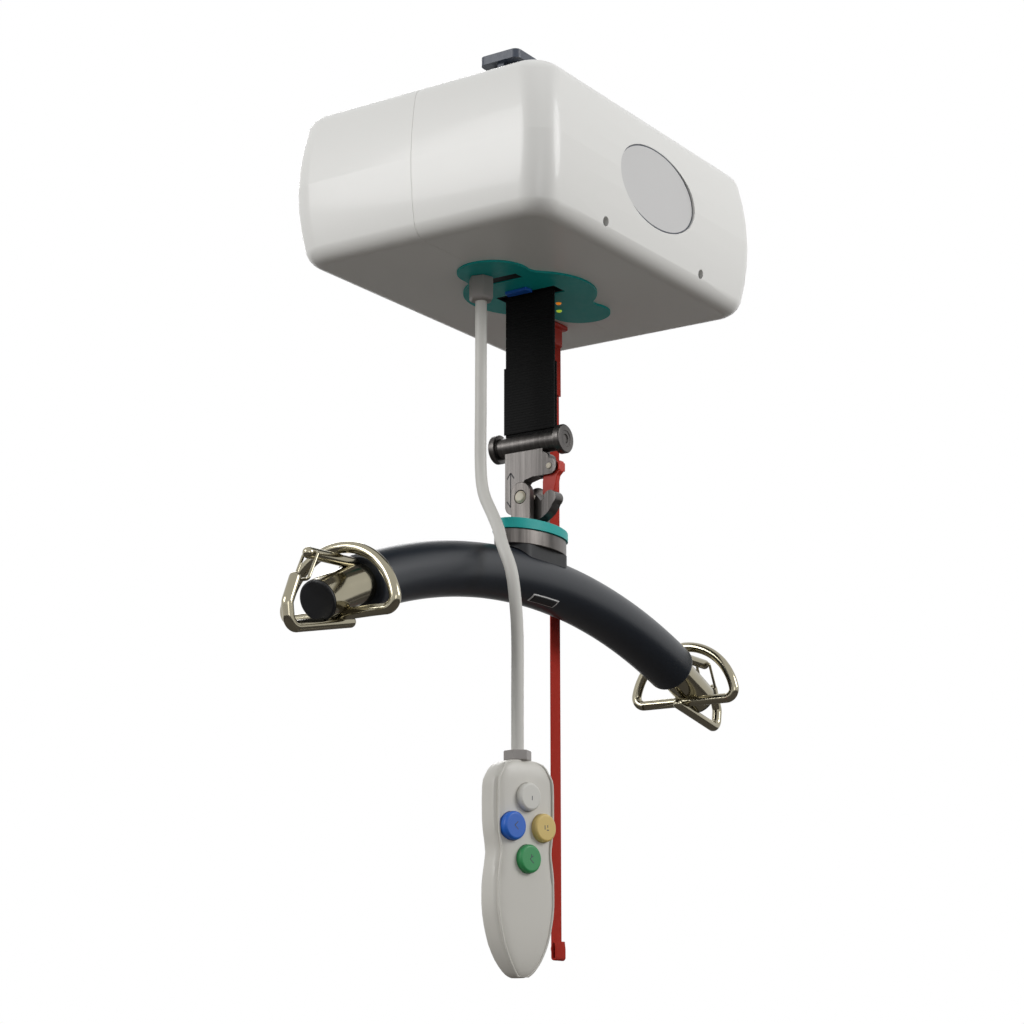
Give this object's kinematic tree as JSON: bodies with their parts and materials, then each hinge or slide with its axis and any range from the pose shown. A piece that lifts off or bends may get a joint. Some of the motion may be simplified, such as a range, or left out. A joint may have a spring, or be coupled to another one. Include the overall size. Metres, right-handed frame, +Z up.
{
  "type": "ceiling track hoist",
  "caption": "Ceiling track hoist with wheeled trolley, white cassette, lifting strap, hook with safety latch, curved padded spreader bar with gated end hooks and a cabled hand control.",
  "frame": {"origin": "on the lifting strap's axis, at the height where the trolley wheels touch the running face of the track", "axes": "+X along the track, +Z up, the front face with the oval plate looks to -Y"},
  "size_m": [0.6464, 0.26, 0.79],
  "materials": {
    "frame_dark": "satin",
    "steel": "satin",
    "nylon": "matte",
    "cover_white": "gloss",
    "badge_grey": "satin",
    "teal": "satin",
    "black_plastic": "matte",
    "blue_plastic": "satin",
    "lamp_orange": "gloss",
    "lamp_green": "gloss",
    "gland_grey": "satin",
    "cable_grey": "satin",
    "handset_grey": "satin",
    "button_pale": "satin",
    "button_yellow": "satin",
    "button_green": "satin",
    "red_plastic": "satin",
    "red_webbing": "matte",
    "black_webbing": "matte",
    "dark_steel": "satin",
    "cream_steel": "satin",
    "fork_steel": "satin",
    "foam": "satin",
    "chrome": "polished",
    "nickel": "polished"
  },
  "bodies": {
    "trolley": {"trolley_frame": "frame_dark", "axle_a": "steel", "axle_b": "steel", "pivot_pin": "steel"},
    "wheel_af": {"wheel_af": "nylon"},
    "wheel_ar": {"wheel_ar": "nylon"},
    "wheel_bf": {"wheel_bf": "nylon"},
    "wheel_br": {"wheel_br": "nylon"},
    "cassette": {"pivot_collar": "steel", "cover_front": "cover_white", "cover_rear": "cover_white", "badge": "badge_grey", "accent_plate": "teal", "vent_insert": "black_plastic", "strap_guide": "blue_plastic", "lamp_orange": "lamp_orange", "lamp_green": "lamp_green", "gland": "gland_grey", "handset_cable": "cable_grey", "handset_nut": "gland_grey", "handset_shell": "handset_grey", "pull_anchor": "red_plastic", "pull_strap": "red_webbing"},
    "button_top": {"button_top": "button_pale"},
    "button_blue": {"button_blue": "blue_plastic"},
    "button_yellow": {"button_yellow": "button_yellow"},
    "button_green": {"button_green": "button_green"},
    "hook": {"lift_strap": "black_webbing", "strap_roller": "dark_steel", "hook_plate": "dark_steel", "latch_pin": "cream_steel"},
    "latch": {"safety_latch": "red_plastic"},
    "fork": {"fork": "fork_steel", "fork_pin": "cream_steel"},
    "bar": {"swivel_ring": "teal", "swivel_housing": "fork_steel", "bar_saddle": "black_plastic", "foam_cover": "foam", "bar_tube": "chrome", "end_fitting_a": "nickel", "end_fitting_b": "nickel", "end_cap_a": "black_plastic", "end_cap_b": "black_plastic"},
    "gate_a": {"wire_gate_a": "nickel"},
    "gate_b": {"wire_gate_b": "nickel"}
  },
  "joints": [
    {"name": "wheel_af_roll", "type": "hinge", "parent": "trolley", "child": "wheel_af", "pos_m": [0.034, 0, 0.013], "axis": [0, 1, 0], "continuous": true},
    {"name": "wheel_ar_roll", "type": "hinge", "parent": "trolley", "child": "wheel_ar", "pos_m": [0.034, 0, 0.013], "axis": [0, 1, 0], "continuous": true},
    {"name": "wheel_bf_roll", "type": "hinge", "parent": "trolley", "child": "wheel_bf", "pos_m": [-0.034, 0, 0.013], "axis": [0, 1, 0], "continuous": true},
    {"name": "wheel_br_roll", "type": "hinge", "parent": "trolley", "child": "wheel_br", "pos_m": [-0.034, 0, 0.013], "axis": [0, 1, 0], "continuous": true},
    {"name": "cassette_turn", "type": "hinge", "parent": "trolley", "child": "cassette", "pos_m": [0, 0, -0.037], "axis": [0, 0, 1], "continuous": true},
    {"name": "hook_lift", "type": "slide", "parent": "cassette", "child": "hook", "axis": [0, 0, -1], "range_m": [0, 0.5], "deforming": ["lift_strap"]},
    {"name": "latch_swing", "type": "hinge", "parent": "hook", "child": "latch", "pos_m": [0, -0.0225, -0.328], "axis": [1, 0, 0], "range_deg": [0, 25], "stiffness_Nm_per_rad": 0.03, "springref_deg": -17.19},
    {"name": "fork_tilt", "type": "hinge", "parent": "hook", "child": "fork", "pos_m": [0, 0, -0.354], "axis": [1, 0, 0], "range_deg": [-8, 4.5]},
    {"name": "bar_swivel", "type": "hinge", "parent": "fork", "child": "bar", "pos_m": [0, 0, -0.389], "axis": [0, 0, 1], "range_deg": [-130, 0]},
    {"name": "gate_a_swing", "type": "hinge", "parent": "bar", "child": "gate_a", "pos_m": [0.293, 0, -0.45272], "axis": [0, 1, 0], "range_deg": [0, 22], "stiffness_Nm_per_rad": 0.01, "springref_deg": -17.19},
    {"name": "gate_b_swing", "type": "hinge", "parent": "bar", "child": "gate_b", "pos_m": [-0.293, 0, -0.45272], "axis": [0, -1, 0], "range_deg": [0, 22], "stiffness_Nm_per_rad": 0.01, "springref_deg": -17.19},
    {"name": "button_top_press", "type": "slide", "parent": "cassette", "child": "button_top", "axis": [0.2588, 0.9659, 0], "range_m": [0, 0.0015], "stiffness_N_per_m": 400},
    {"name": "button_blue_press", "type": "slide", "parent": "cassette", "child": "button_blue", "axis": [0.2588, 0.9659, 0], "range_m": [0, 0.0015], "stiffness_N_per_m": 400},
    {"name": "button_yellow_press", "type": "slide", "parent": "cassette", "child": "button_yellow", "axis": [0.2588, 0.9659, 0], "range_m": [0, 0.0015], "stiffness_N_per_m": 400},
    {"name": "button_green_press", "type": "slide", "parent": "cassette", "child": "button_green", "axis": [0.2588, 0.9659, 0], "range_m": [0, 0.0015], "stiffness_N_per_m": 400}
  ]
}
